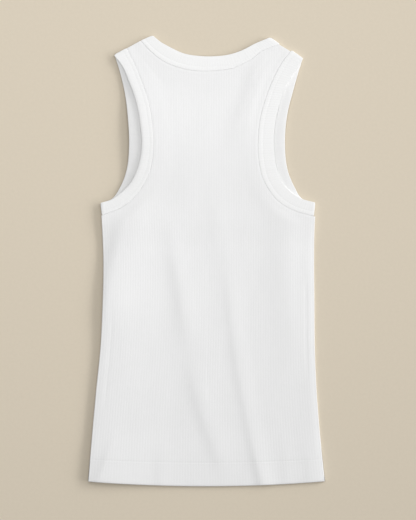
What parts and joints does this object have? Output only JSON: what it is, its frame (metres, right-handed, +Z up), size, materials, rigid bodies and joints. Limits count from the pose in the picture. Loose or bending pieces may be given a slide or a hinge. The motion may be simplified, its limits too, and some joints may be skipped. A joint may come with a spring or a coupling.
{
  "type": "tank top",
  "caption": "Sleeveless ribbed tank top with cut-in armholes, a scooped back neck, wide rib bands and a turned-up hem, lying flat with its back up.",
  "frame": {"origin": "under the middle of the garment's box, on the surface that it lies on", "axes": "+Y from the hem to the neck, +Z up out of the back panel, +X to the right of the view of the back"},
  "size_m": [0.3321, 0.6291, 0.0061],
  "materials": {
    "body_rib": "matt white cotton rib knit",
    "band_rib": "matt white cotton rib knit, folded double"
  },
  "bodies": {
    "root": {"back_panel": "body_rib", "front_panel": "body_rib", "neck_band": "band_rib", "armhole_band_left": "band_rib", "armhole_band_right": "band_rib"}
  },
  "joints": []
}
